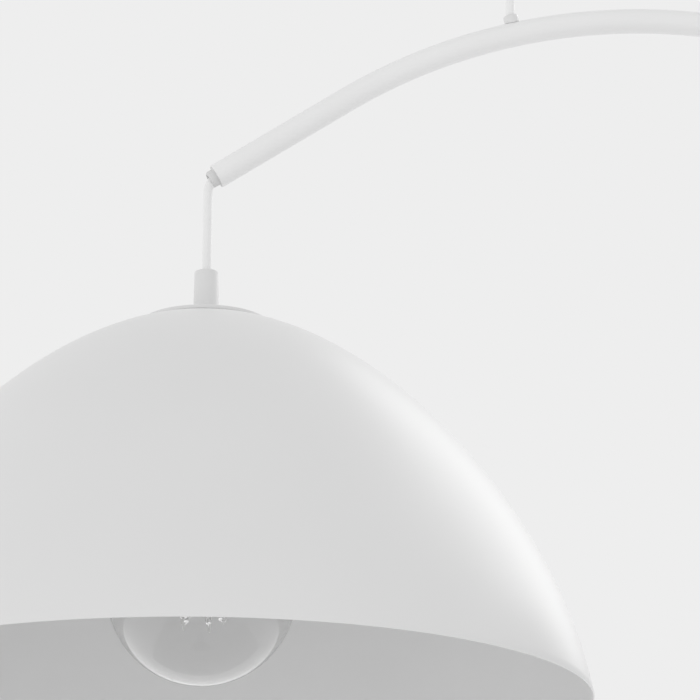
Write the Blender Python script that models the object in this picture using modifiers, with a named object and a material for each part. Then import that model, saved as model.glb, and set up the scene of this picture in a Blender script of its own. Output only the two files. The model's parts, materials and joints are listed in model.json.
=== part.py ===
"""Two-shade bow pendant lamp, hung from a ceiling canopy by its two supply cables.

Metres, +Z up. The origin is the middle of the canopy's face against the ceiling,
X runs along the bow, and everything hangs at negative Z.
"""
import math

import bmesh
import bpy
from mathutils import Matrix, Vector

for old in list(bpy.data.objects):
    bpy.data.objects.remove(old, do_unlink=True)

# Driving dimensions
RIM_DROP = 0.800          # ceiling to the shades' rims
LAMP_OFFSET = 0.333       # middle of the bow to each lamp's axis
GAP = 0.0003              # between neighbours that touch on the real lamp

BOW_APEX = 0.5375         # bow centreline above the rims, at its middle
BOW_BEND = 0.424          # bend radius of the curved stretch
BOW_SLOPE = math.radians(32.5)    # the straight ends slope down by this
BOW_RADIUS = 0.0095
BOW_WALL = 0.0012

CABLE_RADIUS = 0.0035
CABLE_BEND = 0.017        # where it turns down out of the bow's end
COLLAR_FOOT = 0.096       # entry collars, from the middle of the bow
COLLAR_RADIUS = 0.00575
COLLAR_HEIGHT = 0.0060    # above the tube's surface
GROMMET_REACH = 0.0042    # flange beyond the tube's end

CANOPY_LENGTH = 0.300
CANOPY_WIDTH = 0.070
CANOPY_DEPTH = 0.036
CANOPY_WALL = 0.0015
GLAND_LENGTH = 0.016
SLEEVE_LENGTH = 0.022

SHADE_RADIUS = 0.285
SHADE_HEIGHT = 0.285
SHADE_WALL = 0.0012
CROWN_RADIUS = 0.050      # flat on top of the shade
DISC_THICKNESS = 0.0030
GRIP_HEIGHT = 0.0420
GRIP_TOP_RADIUS = 0.0092
GRIP_FOOT_RADIUS = 0.0098
STEM_RADIUS = 0.0049
STEM_BORE = 0.0039

GLOBE_RADIUS = 0.0700
BULB_LENGTH = 0.1778
GLOBE_REST = 0.0137       # bottom of the globe above the rim
CAP_RADIUS = 0.0132       # E27 screw shell
CAP_HEIGHT = 0.0240
GLASS_WALL = 0.0010

SIDES = (("left", -1), ("right", 1))

# Heights that follow from them
RIM_Z = -RIM_DROP
CROWN_Z = RIM_Z + SHADE_HEIGHT
DISC_Z = CROWN_Z + GAP
GRIP_Z = DISC_Z + DISC_THICKNESS + GAP
GLOBE_Z = RIM_Z + GLOBE_REST + GLOBE_RADIUS
BULB_TIP_Z = RIM_Z + GLOBE_REST + BULB_LENGTH
CAP_Z = BULB_TIP_Z - 0.0270
APEX_Z = RIM_Z + BOW_APEX
BEND_CENTRE_Z = APEX_Z - BOW_BEND
TANGENT_X = BOW_BEND * math.sin(BOW_SLOPE)
TANGENT_Z = BEND_CENTRE_Z + BOW_BEND * math.cos(BOW_SLOPE)
TUBE_END_X = LAMP_OFFSET - 0.0061
CANOPY_FLOOR_Z = -CANOPY_DEPTH
GLAND_FOOT_Z = CANOPY_FLOOR_Z - GLAND_LENGTH
SLEEVE_FOOT_Z = GLAND_FOOT_Z - 0.0012 - SLEEVE_LENGTH

model = bpy.data.collections.new("bow_pendant")
cutters = bpy.data.collections.new("cutters")
for group in (model, cutters):
    bpy.context.scene.collection.children.link(group)


# ---------------------------------------------------------------- materials
def make_material(name, colour, roughness, metallic=0.0):
    material = bpy.data.materials.new(name)
    material.use_nodes = True
    shader = material.node_tree.nodes["Principled BSDF"]
    shader.inputs["Base Color"].default_value = (*colour, 1.0)
    shader.inputs["Roughness"].default_value = roughness
    shader.inputs["Metallic"].default_value = metallic
    return material


SHADE_WHITE = make_material("shade_white", (0.80, 0.80, 0.80), 0.42)
BOW_WHITE = make_material("bow_white", (0.82, 0.82, 0.82), 0.40)
FITTING_GREY = make_material("fitting_grey", (0.68, 0.68, 0.69), 0.45)
CABLE_WHITE = make_material("cable_white", (0.80, 0.80, 0.80), 0.55)
RUBBER_GREY = make_material("rubber_grey", (0.60, 0.60, 0.60), 0.65)
PLASTIC_WHITE = make_material("plastic_white", (0.85, 0.85, 0.84), 0.40)
ZINC = make_material("zinc", (0.70, 0.70, 0.70), 0.35, 1.0)
BRASS = make_material("brass", (0.72, 0.55, 0.28), 0.30, 1.0)
CERAMIC = make_material("ceramic", (0.88, 0.87, 0.84), 0.35)
NICKEL = make_material("nickel", (0.75, 0.74, 0.72), 0.25, 1.0)
GLASS = make_material("glass", (0.90, 0.92, 0.92), 0.05)
FILAMENT = make_material("filament", (0.85, 0.75, 0.45), 0.50)


# ---------------------------------------------------------------- joint pivots
pivots = {}


def add_pivot(name, place, parent=None):
    """An empty on a joint's axis; place is in world coordinates."""
    empty = bpy.data.objects.new(name, None)
    model.objects.link(empty)
    origin = Vector(place)
    if parent:
        empty.parent = pivots[parent][0]
        empty.location = origin - pivots[parent][1]
    else:
        empty.location = origin
    pivots[name] = (empty, origin)


def finish(obj, material, pivot=None, smooth=True):
    obj.data.materials.clear()
    obj.data.materials.append(material)
    if smooth and obj.type == "MESH":
        obj.data.shade_smooth()
        obj.data.set_sharp_from_angle(angle=math.radians(35))
    if pivot:
        obj.parent = pivots[pivot][0]
        obj.location = obj.location - pivots[pivot][1]
    return obj


# ---------------------------------------------------------------- shape helpers
def turned(name, outline, place, segments=20, closed=False, axis=(0, 0, 1), group=model):
    """Revolve an outline of (radius, height) points; it runs down the outer side."""
    edges = [(i, i + 1) for i in range(len(outline) - 1)]
    if closed:
        edges.append((len(outline) - 1, 0))
    mesh = bpy.data.meshes.new(name)
    mesh.from_pydata([(r, 0, z) for r, z in outline], edges, [])
    obj = bpy.data.objects.new(name, mesh)
    group.objects.link(obj)
    screw = obj.modifiers.new("turn", "SCREW")
    screw.steps = screw.render_steps = segments
    screw.use_merge_vertices = True
    screw.merge_threshold = 0.00001
    obj.location = place
    obj.rotation_mode = "QUATERNION"
    obj.rotation_quaternion = Vector((0, 0, 1)).rotation_difference(Vector(axis))
    return obj


def ring(name, outer, inner, bottom, top, place, **options):
    outline = [(outer, top), (outer, bottom), (inner, bottom), (inner, top)]
    return turned(name, outline, place, closed=True, **options)


def hex_nut(name, flats, bore, bottom, top, place):
    """A six-sided ring, its outside and its hole given by their radii to the flats."""
    corner = 1 / math.cos(math.radians(30))
    return ring(name, flats * corner, bore * corner, bottom, top, place, segments=6)


def bezier(p0, p1, p2, p3, count):
    """Points along a cubic curve, both ends included."""
    points = []
    for i in range(count + 1):
        t = i / count
        weights = ((1 - t) ** 3, 3 * (1 - t) ** 2 * t, 3 * (1 - t) * t * t, t ** 3)
        points.append(tuple(sum(w * p[k] for w, p in zip(weights, (p0, p1, p2, p3)))
                            for k in range(len(p0))))
    return points


def smooth_route(points, steps=5):
    """Points on a Catmull-Rom curve through the route's own points."""
    route = [Vector(p) for p in points]
    padded = [2 * route[0] - route[1]] + route + [2 * route[-1] - route[-2]]
    result = [route[0]]
    for a, b, c, d in zip(padded, padded[1:], padded[2:], padded[3:]):
        for i in range(1, steps + 1):
            t = i / steps
            result.append(0.5 * (2 * b + (c - a) * t + (2 * a - 5 * b + 4 * c - d) * t ** 2
                                 + (3 * b - a - 3 * c + d) * t ** 3))
    return result


def poly_tube(name, points, radius, resolution=2, caps=True, group=model):
    """A round bar along the points, as a bevelled curve."""
    curve = bpy.data.curves.new(name, "CURVE")
    curve.dimensions = "3D"
    spline = curve.splines.new("POLY")
    spline.points.add(len(points) - 1)
    for target, point in zip(spline.points, points):
        target.co = (*point, 1)
    curve.bevel_depth = radius
    curve.bevel_resolution = resolution
    curve.use_fill_caps = caps
    obj = bpy.data.objects.new(name, curve)
    group.objects.link(obj)
    return obj


def curve_to_mesh(curve_object):
    """The curve's solid as a mesh object, with its caps welded on."""
    name = curve_object.name
    evaluated = curve_object.evaluated_get(bpy.context.evaluated_depsgraph_get())
    mesh = bpy.data.meshes.new_from_object(evaluated)
    work = bmesh.new()
    work.from_mesh(mesh)
    bmesh.ops.remove_doubles(work, verts=work.verts, dist=0.00001)
    work.to_mesh(mesh)
    work.free()
    matrix = curve_object.matrix_world.copy()
    bpy.data.objects.remove(curve_object, do_unlink=True)
    obj = bpy.data.objects.new(name, mesh)
    obj.matrix_world = matrix
    model.objects.link(obj)
    return obj


def rod_between(start, end, radius, segments, name, group):
    """A plain round bar from start to end."""
    start, end = Vector(start), Vector(end)
    outline = [(0, (end - start).length), (radius, (end - start).length), (radius, 0), (0, 0)]
    return turned(name, outline, start, segments=segments, axis=end - start, group=group)


def cut(obj, cutter):
    cutter.hide_render = True
    cutter.display_type = "WIRE"
    boolean = obj.modifiers.new(cutter.name, "BOOLEAN")
    boolean.operation = "DIFFERENCE"
    boolean.solver = "EXACT"
    boolean.object = cutter


def stadium_curve(name, length, width, depth):
    """A flat outline with round ends, extruded to the depth about z = 0."""
    radius = width / 2
    middle = length / 2 - radius
    curve = bpy.data.curves.new(name, "CURVE")
    curve.dimensions = "2D"
    curve.fill_mode = "BOTH"
    curve.extrude = depth / 2
    spline = curve.splines.new("POLY")
    points = []
    for centre, first in ((middle, -90), (-middle, 90)):
        for step in range(9):
            angle = math.radians(first + step * 22.5)
            points.append((centre + radius * math.cos(angle), radius * math.sin(angle)))
    spline.points.add(len(points) - 1)
    for target, (x, y) in zip(spline.points, points):
        target.co = (x, y, 0, 1)
    spline.use_cyclic_u = True
    obj = bpy.data.objects.new(name, curve)
    model.objects.link(obj)
    return obj


# ---------------------------------------------------------------- the bow's line
def bow_point(u):
    """Centreline of the bow at the distance u from its middle, as (u, z)."""
    if u <= TANGENT_X:
        return Vector((u, BEND_CENTRE_Z + math.sqrt(BOW_BEND ** 2 - u ** 2)))
    return Vector((u, TANGENT_Z - (u - TANGENT_X) * math.tan(BOW_SLOPE)))


def bow_slope(u):
    return math.asin(min(u, TANGENT_X) / BOW_BEND)


def on_side(side, flat):
    """World point for (u, z) on one side of the lamp."""
    return Vector((side * flat[0], 0, flat[1]))


FOOT = bow_point(COLLAR_FOOT)
FOOT_SLOPE = bow_slope(COLLAR_FOOT)
OUTWARD = Vector((math.sin(FOOT_SLOPE), math.cos(FOOT_SLOPE)))
ALONG = Vector((math.cos(FOOT_SLOPE), -math.sin(FOOT_SLOPE)))
MOUTH = FOOT + OUTWARD * (BOW_RADIUS + COLLAR_HEIGHT)
CABLE_X = MOUTH.x

TUBE_END = bow_point(TUBE_END_X)
END_ALONG = Vector((math.cos(BOW_SLOPE), -math.sin(BOW_SLOPE)))
TURN_START_X = LAMP_OFFSET - CABLE_BEND * (1 - math.sin(BOW_SLOPE))
TURN_START = bow_point(TURN_START_X)
TURN_END_Z = TURN_START.y - CABLE_BEND * math.cos(BOW_SLOPE)

LINK_TOP_Z = TURN_END_Z - 0.0020
LINK_FOOT_Z = LINK_TOP_Z - 0.0070

# ---------------------------------------------------------------- pivots
add_pivot("fore_aft_pivot", (0, 0, GLAND_FOOT_Z))
for label, side in SIDES:
    add_pivot(f"{label}_cable_pivot", (side * CABLE_X, 0, SLEEVE_FOOT_Z), "fore_aft_pivot")
add_pivot("bow_pivot", (-CABLE_X, 0, MOUTH.y), "left_cable_pivot")
for label, side in SIDES:
    lamp_x = side * LAMP_OFFSET
    add_pivot(f"{label}_link_pivot", (lamp_x, 0, LINK_TOP_Z), "bow_pivot")
    add_pivot(f"{label}_pendant_pivot", (lamp_x, 0, LINK_FOOT_Z), f"{label}_link_pivot")
    add_pivot(f"{label}_glass_pivot", (lamp_x, 0, GLOBE_Z), f"{label}_pendant_pivot")
    add_pivot(f"{label}_bulb_pivot", (lamp_x, 0, CAP_Z), f"{label}_glass_pivot")


# ---------------------------------------------------------------- canopy
BRACKET_HALF = 0.118
BRACKET_THICKNESS = 0.0020
SIDE_SCREW_Z = -0.012


def make_bracket():
    """Steel strip against the ceiling, its ends folded down for the side screws."""
    half_width = 0.011
    tab_depth = 0.020
    outline = [(-BRACKET_HALF, 0), (BRACKET_HALF, 0), (BRACKET_HALF, -tab_depth),
               (BRACKET_HALF - BRACKET_THICKNESS, -tab_depth),
               (BRACKET_HALF - BRACKET_THICKNESS, -BRACKET_THICKNESS),
               (-BRACKET_HALF + BRACKET_THICKNESS, -BRACKET_THICKNESS),
               (-BRACKET_HALF + BRACKET_THICKNESS, -tab_depth), (-BRACKET_HALF, -tab_depth)]
    work = bmesh.new()
    face = work.faces.new([work.verts.new((x, -half_width, z)) for x, z in outline])
    swept = bmesh.ops.extrude_face_region(work, geom=[face])
    moved = [item for item in swept["geom"] if isinstance(item, bmesh.types.BMVert)]
    bmesh.ops.translate(work, verts=moved, vec=(0, 2 * half_width, 0))
    bmesh.ops.recalc_face_normals(work, faces=work.faces)
    mesh = bpy.data.meshes.new("ceiling_bracket")
    work.to_mesh(mesh)
    work.free()
    bracket = bpy.data.objects.new("ceiling_bracket", mesh)
    model.objects.link(bracket)
    for label, side in SIDES:
        slot = stadium_curve(f"ceiling_slot_{label}", 0.018, 0.0050, 0.020)
        slot = curve_to_mesh(slot)
        slot.location.x = side * 0.075
        model.objects.unlink(slot)
        cutters.objects.link(slot)
        cut(bracket, slot)
        hole = rod_between((side * 0.100, 0, SIDE_SCREW_Z), (side * 0.130, 0, SIDE_SCREW_Z),
                           0.0022, 12, f"tab_hole_{label}", cutters)
        cut(bracket, hole)
    finish(bracket, ZINC, smooth=False)


def make_canopy():
    """Long canopy with round ends: an open-topped shell that hides the wiring."""
    block = curve_to_mesh(stadium_curve("canopy_shell", CANOPY_LENGTH, CANOPY_WIDTH, CANOPY_DEPTH))
    work = bmesh.new()
    work.from_mesh(block.data)
    top = [f for f in work.faces if f.normal.z > 0.9]
    bmesh.ops.delete(work, geom=top, context="FACES")
    bmesh.ops.dissolve_limit(work, angle_limit=0.01, verts=work.verts, edges=work.edges)
    foot = [e for e in work.edges if len(e.link_faces) == 2 and e.calc_face_angle() > 1
            and all(v.co.z < 0 for v in e.verts)]
    bmesh.ops.bevel(work, geom=foot, offset=0.0025, segments=2, affect="EDGES", profile=0.5)
    work.to_mesh(block.data)
    work.free()
    block.location.z = -CANOPY_DEPTH / 2
    wall = block.modifiers.new("wall", "SOLIDIFY")
    wall.thickness = CANOPY_WALL
    wall.offset = -1
    for label, side in SIDES:
        hole = rod_between((side * CABLE_X, 0, -0.040), (side * CABLE_X, 0, -0.020),
                           0.0063, 20, f"gland_hole_{label}", cutters)
        cut(block, hole)
        hole = rod_between((side * 0.140, 0, SIDE_SCREW_Z), (side * 0.160, 0, SIDE_SCREW_Z),
                           0.0022, 12, f"side_hole_{label}", cutters)
        cut(block, hole)
    finish(block, BOW_WHITE)


def make_side_screw(label, side):
    """Screw that holds the canopy to one of the bracket's tabs."""
    head = CANOPY_LENGTH / 2 + GAP
    tip = BRACKET_HALF - 0.006
    outline = [(0, 0.0024), (0.0022, 0.0022), (0.0036, 0.0012), (0.0038, 0),
               (0.0018, 0), (0.0018, tip - head), (0, tip - head)]
    screw = turned(f"canopy_screw_{label}", outline, (side * head, 0, SIDE_SCREW_Z),
                   segments=16, axis=(side, 0, 0))
    finish(screw, ZINC)


def make_terminals():
    """Three-way connector under the bracket, with its screw wells, and the earth screw."""
    top = -BRACKET_THICKNESS - GAP
    height, depth, pitch = 0.0125, 0.017, 0.0085
    bpy.ops.mesh.primitive_cube_add(size=1, location=(0, 0, top - height / 2))
    block = bpy.context.object
    block.name = "terminal_block"
    for group in list(block.users_collection):
        group.objects.unlink(block)
    model.objects.link(block)
    block.data.transform(Matrix.Diagonal((3 * pitch + 0.002, depth, height, 1)))
    bevel = block.modifiers.new("edges", "BEVEL")
    bevel.width = 0.0008
    bevel.segments = 2
    floor = top - height
    for way in (-1, 0, 1):
        for row in (-1, 1):
            x, y = way * pitch, row * depth / 4
            well = rod_between((x, y, floor - 0.002), (x, y, floor + 0.004), 0.0022, 12,
                               f"screw_well_{way}_{row}", cutters)
            cut(block, well)
    finish(block, PLASTIC_WHITE, smooth=False)
    outline = [(0, -BRACKET_THICKNESS - GAP), (0.0040, -BRACKET_THICKNESS - GAP),
               (0.0040, -0.0046), (0.0032, -0.0052), (0, -0.0054)]
    finish(turned("earth_screw", outline, (0.036, 0, 0), segments=16), BRASS)


def make_gland(label, side):
    """Cord grip through the canopy's floor, and its nut inside."""
    place = (side * CABLE_X, 0, CANOPY_FLOOR_Z)
    bore = CABLE_RADIUS + 0.0005
    flange = -GAP
    foot = -GLAND_LENGTH
    top = 0.0068
    outline = [(0.0059, top), (0.0059, flange), (0.0095, flange), (0.0095, foot + 0.004),
               (0.0088, foot + 0.0015), (0.0075, foot), (bore, foot), (bore, top)]
    finish(turned(f"canopy_gland_{label}", outline, place, closed=True), FITTING_GREY)


def make_gland_nut(label, side):
    bottom = CANOPY_FLOOR_Z + CANOPY_WALL + GAP
    nut = hex_nut(f"gland_nut_{label}", 0.0085, 0.0059 + GAP, bottom, bottom + 0.0040,
                  (side * CABLE_X, 0, 0))
    finish(nut, ZINC, smooth=False)


def make_canopy_lead(label, side):
    """Cable inside the canopy, from its gland to the terminals."""
    x = CABLE_X
    bend = 0.0140
    turn_z = CANOPY_FLOOR_Z + 0.0076
    block_z = -0.0125
    route = [(x, GLAND_FOOT_Z + 0.001), (x, GLAND_FOOT_Z + 0.009), (x, CANOPY_FLOOR_Z),
             (x, turn_z - 0.003)]
    for step in range(4):
        angle = math.radians(30 * step)
        route.append((x - bend * (1 - math.cos(angle)), turn_z + bend * math.sin(angle)))
    route += [(0.068, block_z - 0.001), (0.050, block_z), (0.032, block_z), (0.0145, block_z)]
    points = smooth_route([on_side(side, p) for p in route], 2)
    finish(poly_tube(f"canopy_lead_{label}", points, CABLE_RADIUS), CABLE_WHITE, smooth=False)


# ---------------------------------------------------------------- suspension
def make_sleeve(label, side):
    """Tapered strain relief that bends fore and aft with the cable."""
    bore = CABLE_RADIUS + 0.0005
    outline = [(0.0054, 0), (0.0070, -0.0014), (0.0070, -0.0034), (0.0064, -0.0048),
               (0.0050, -SLEEVE_LENGTH + 0.0006), (0.0046, -SLEEVE_LENGTH),
               (bore, -SLEEVE_LENGTH), (bore, 0)]
    place = (side * CABLE_X, 0, GLAND_FOOT_Z - 0.0012)
    sleeve = turned(f"gland_sleeve_{label}", outline, place, closed=True)
    finish(sleeve, RUBBER_GREY, "fore_aft_pivot")


def cable_length(name, x, top, foot, pivot):
    """A straight hanging stretch of cable with its ends eased for the bending at its joints."""
    ease = 0.0015
    outline = [(0, 0), (CABLE_RADIUS - ease, 0), (CABLE_RADIUS, -ease),
               (CABLE_RADIUS, foot - top + ease), (CABLE_RADIUS - ease, foot - top),
               (0, foot - top)]
    finish(turned(name, outline, (x, 0, top), segments=12), CABLE_WHITE, pivot)


# ---------------------------------------------------------------- bow
def make_bow():
    """Round tube: one long bend between two straight ends, with two holes for the cables."""
    bend_steps = 20
    half = [bow_point(TUBE_END_X)]
    for step in range(bend_steps // 2 + 1):
        angle = BOW_SLOPE * (1 - 2 * step / bend_steps)
        half.append(Vector((BOW_BEND * math.sin(angle),
                            BEND_CENTRE_Z + BOW_BEND * math.cos(angle))))
    points = [on_side(-1, p) for p in half] + [on_side(1, p) for p in half[-2::-1]]
    tube = poly_tube("bow_tube", points, BOW_RADIUS, resolution=4, caps=False)
    tube = curve_to_mesh(tube)
    wall = tube.modifiers.new("wall", "SOLIDIFY")
    wall.thickness = BOW_WALL
    wall.offset = -1
    for label, side in SIDES:
        start = on_side(side, FOOT + OUTWARD * 0.002)
        end = on_side(side, FOOT + OUTWARD * 0.020)
        cut(tube, rod_between(start, end, 0.0046, 20, f"entry_hole_{label}", cutters))
    finish(tube, BOW_WHITE, "bow_pivot")


def make_collar(label, side):
    """Entry bush on top of the bow, its foot shaped to the tube."""
    bore = CABLE_RADIUS + 0.0004
    top = BOW_RADIUS + COLLAR_HEIGHT
    bottom = BOW_RADIUS - 0.003
    outline = [(bore + 0.0010, top), (COLLAR_RADIUS - 0.0008, top), (COLLAR_RADIUS, top - 0.0008),
               (COLLAR_RADIUS, bottom), (bore, bottom), (bore, top - 0.0010)]
    axis = on_side(side, OUTWARD)
    collar = turned(f"entry_collar_{label}", outline, on_side(side, FOOT), closed=True,
                    axis=axis)
    start = on_side(side, FOOT - ALONG * 0.020)
    end = on_side(side, FOOT + ALONG * 0.020)
    cut(collar, rod_between(start, end, BOW_RADIUS + GAP, 32, f"collar_saddle_{label}", cutters))
    finish(collar, FITTING_GREY, "bow_pivot")


def make_inner_cable(label, side):
    """Cable through the collar, along the inside of the bow and out of its end."""
    bend = 0.0138
    start = BOW_RADIUS
    flat = [FOOT + OUTWARD * (start + COLLAR_HEIGHT - 0.0008), FOOT + OUTWARD * (start + 0.002)]
    for step in range(5):
        angle = math.radians(22.5 * step)
        flat.append(FOOT + OUTWARD * (start - bend * math.sin(angle))
                    + ALONG * bend * (1 - math.cos(angle)))
    low = start - bend
    for u, rise in ((0.128, 0.9), (0.150, 0.6), (0.175, 0.2)):
        slope = bow_slope(u)
        flat.append(bow_point(u) + Vector((math.sin(slope), math.cos(slope))) * low * rise)
    flat += [bow_point(0.200), bow_point(0.228), bow_point(0.258), bow_point(0.285),
             bow_point(0.305), bow_point(TURN_START_X - 0.006)]
    centre = TURN_START + Vector((-math.sin(BOW_SLOPE), -math.cos(BOW_SLOPE))) * CABLE_BEND
    for step in range(5):
        angle = BOW_SLOPE + (math.pi / 2 - BOW_SLOPE) * step / 4
        flat.append(centre + Vector((math.sin(angle), math.cos(angle))) * CABLE_BEND)
    flat.append(Vector((LAMP_OFFSET, LINK_TOP_Z + 0.0004)))
    points = smooth_route([on_side(side, p) for p in flat], 2)
    cable = poly_tube(f"inner_cable_{label}", points, CABLE_RADIUS)
    finish(cable, CABLE_WHITE, "bow_pivot")


def make_grommet(label, side):
    """Bush in the end of the bow, its mouth flared for the bend of the cable."""
    shank = BOW_RADIUS - BOW_WALL - GAP
    bore = CABLE_RADIUS + 0.0007
    mouth = 0.0062
    reach = GROMMET_REACH
    outline = [(mouth + 0.0012, reach), (0.0086, reach - 0.0008), (0.0093, reach - 0.0020),
               (0.0093, GAP), (shank, GAP), (shank, -0.010), (bore, -0.010), (bore, -0.0035),
               (bore + 0.0004, -0.0010), (bore + 0.0012, reach / 2), (mouth, reach - 0.0004)]
    grommet = turned(f"end_grommet_{label}", outline, on_side(side, TUBE_END), closed=True,
                     axis=on_side(side, END_ALONG))
    finish(grommet, RUBBER_GREY, "bow_pivot")


# ---------------------------------------------------------------- pendant
def make_grip(label, x, pivot):
    """Cord grip on the stem, and the small screw that pinches the cable."""
    bore = CABLE_RADIUS + 0.0004
    thread = STEM_RADIUS + GAP
    shoulder = 0.0200
    outline = [(bore + 0.0006, GRIP_HEIGHT), (GRIP_TOP_RADIUS - 0.0012, GRIP_HEIGHT),
               (GRIP_TOP_RADIUS, GRIP_HEIGHT - 0.0012), (GRIP_FOOT_RADIUS, 0.0004),
               (GRIP_FOOT_RADIUS - 0.0004, 0), (thread, 0), (thread, shoulder),
               (bore, shoulder), (bore, GRIP_HEIGHT - 0.0006)]
    grip = turned(f"cord_grip_{label}", outline, (x, 0, GRIP_Z), closed=True)
    screw_z = GRIP_Z + 0.030
    hole = rod_between((x, 0.002, screw_z), (x, 0.014, screw_z), 0.0017, 16,
                       f"grip_hole_{label}", cutters)
    cut(grip, hole)
    finish(grip, FITTING_GREY, pivot)
    screw = rod_between((x, CABLE_RADIUS + GAP, screw_z), (x, 0.0088, screw_z), 0.0014, 12,
                        f"grip_screw_{label}", model)
    finish(screw, ZINC, pivot)


def make_disc(label, x, pivot):
    """Cover disc on the shade's flat crown."""
    edge = 0.0010
    outline = [(CROWN_RADIUS - edge, DISC_THICKNESS), (CROWN_RADIUS - 0.0003, DISC_THICKNESS - 0.0003),
               (CROWN_RADIUS, DISC_THICKNESS - edge), (CROWN_RADIUS, 0),
               (STEM_RADIUS + GAP, 0), (STEM_RADIUS + GAP, DISC_THICKNESS)]
    disc = turned(f"top_disc_{label}", outline, (x, 0, DISC_Z), closed=True, segments=32)
    finish(disc, SHADE_WHITE, pivot)


def shade_outline():
    """The shade's outside from the hole in its crown down to the rim."""
    wall = bezier((CROWN_RADIUS, SHADE_HEIGHT), (0.160, 0.252), (0.265, 0.118),
                  (SHADE_RADIUS, 0), 10)
    return [(STEM_RADIUS + GAP, SHADE_HEIGHT)] + wall


def make_shade(label, x, pivot):
    shade = turned(f"shade_{label}", shade_outline(), (x, 0, RIM_Z), segments=40)
    wall = shade.modifiers.new("wall", "SOLIDIFY")
    wall.thickness = SHADE_WALL
    wall.offset = -1
    finish(shade, SHADE_WHITE, pivot)


HOLDER_FOOT_Z = CAP_Z - 0.0020
HOLDER_SPLIT_Z = BULB_TIP_Z + 0.0040
HOLDER_TOP_Z = HOLDER_SPLIT_Z + 0.0190
HOLDER_RADIUS = 0.0205
SHELL_RADIUS = 0.0146


def make_stem(label, x, pivot):
    """Threaded tube from the cord grip down to the lampholder, and the nut under the shade."""
    top = GRIP_Z + 0.0195
    bottom = HOLDER_TOP_Z - 0.010
    stem = ring(f"stem_{label}", STEM_RADIUS, STEM_BORE, bottom, top, (x, 0, 0), segments=16)
    finish(stem, ZINC, pivot)
    nut_top = CROWN_Z - SHADE_WALL - GAP
    nut = hex_nut(f"shade_nut_{label}", 0.0075, STEM_RADIUS + GAP, nut_top - 0.0040, nut_top,
                  (x, 0, 0))
    finish(nut, ZINC, pivot, smooth=False)


def make_holder(label, x, pivot):
    """Lampholder: cap, body, insert, screw shell and centre contact."""
    place = (x, 0, 0)
    radius = HOLDER_RADIUS
    neck = STEM_RADIUS + GAP
    cap = [(0.0090, HOLDER_TOP_Z), (0.0100, HOLDER_TOP_Z - 0.0010),
           (0.0110, HOLDER_TOP_Z - 0.0070), (0.0165, HOLDER_TOP_Z - 0.0100),
           (0.0195, HOLDER_TOP_Z - 0.0135), (radius, HOLDER_SPLIT_Z + GAP),
           (radius - 0.0022, HOLDER_SPLIT_Z + GAP), (0.0175, HOLDER_TOP_Z - 0.0140),
           (0.0150, HOLDER_TOP_Z - 0.0122), (neck, HOLDER_TOP_Z - 0.0110), (neck, HOLDER_TOP_Z)]
    finish(turned(f"holder_cap_{label}", cap, place, closed=True), PLASTIC_WHITE, pivot)
    inner = SHELL_RADIUS + GAP
    body = [(radius, HOLDER_SPLIT_Z), (radius, HOLDER_FOOT_Z + 0.0080),
            (radius - 0.0010, HOLDER_FOOT_Z + 0.0070), (radius - 0.0010, HOLDER_FOOT_Z + 0.0008),
            (radius - 0.0018, HOLDER_FOOT_Z), (inner, HOLDER_FOOT_Z),
            (inner, HOLDER_SPLIT_Z)]
    finish(turned(f"holder_body_{label}", body, place, closed=True), PLASTIC_WHITE, pivot)
    insert_z = BULB_TIP_Z + 0.0016
    finish(ring(f"holder_insert_{label}", SHELL_RADIUS - 0.0010, 0.0022, insert_z,
                insert_z + 0.0050, place), CERAMIC, pivot)
    finish(ring(f"contact_shell_{label}", SHELL_RADIUS, SHELL_RADIUS - 0.0006,
                HOLDER_FOOT_Z + 0.0040, insert_z + 0.0030, place, segments=24), BRASS, pivot)
    contact = [(0, insert_z + 0.0060), (0.0018, insert_z + 0.0060), (0.0018, insert_z - GAP),
               (0.0040, insert_z - GAP), (0.0040, insert_z - 0.0009), (0.0025, insert_z - 0.0012),
               (0, insert_z - 0.0013)]
    finish(turned(f"centre_contact_{label}", contact, place, segments=16), BRASS, pivot)


# ---------------------------------------------------------------- bulb
def make_globe(label, x, pivot):
    """Clear globe with a neck that enters the cap."""
    neck = CAP_RADIUS - 0.0008
    join = math.radians(62)
    join_point = (GLOBE_RADIUS * math.cos(join), GLOBE_RADIUS * math.sin(join))
    lean = (-math.sin(join), math.cos(join))
    top = CAP_Z - GLOBE_Z
    shoulder = bezier((neck, top - 0.001), (neck, top - 0.012),
                      (join_point[0] + lean[0] * 0.014, join_point[1] + lean[1] * 0.014),
                      join_point, 4)
    outline = [(neck, top + 0.008)] + shoulder
    arc_steps = 10
    for step in range(1, arc_steps + 1):
        angle = join - (join + math.pi / 2) * step / arc_steps
        outline.append((GLOBE_RADIUS * math.cos(angle), GLOBE_RADIUS * math.sin(angle)))
    outline[-1] = (0, -GLOBE_RADIUS)
    globe = turned(f"bulb_glass_{label}", outline, (x, 0, GLOBE_Z), segments=24)
    wall = globe.modifiers.new("wall", "SOLIDIFY")
    wall.thickness = GLASS_WALL
    wall.offset = -1
    finish(globe, GLASS, pivot)


def make_cap(label, x, pivot):
    """Screw cap with its contact: a thin shell round the neck of the glass."""
    inner = CAP_RADIUS - 0.0004
    top = CAP_HEIGHT
    outline = [(0.0060, top), (0.0095, top - 0.0006), (CAP_RADIUS, top - 0.0050), (CAP_RADIUS, 0),
               (inner, 0), (inner, top - 0.0053), (0.0092, top - 0.0011), (0.0060, top - 0.0006)]
    finish(turned(f"bulb_cap_{label}", outline, (x, 0, CAP_Z), closed=True), NICKEL, pivot)
    contact = [(0, 0.0270), (0.0040, 0.0268), (0.0056, 0.0250), (0.0056, top - 0.0030),
               (0, top - 0.0030)]
    finish(turned(f"bulb_contact_{label}", contact, (x, 0, CAP_Z), segments=20), BRASS, pivot)


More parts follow.
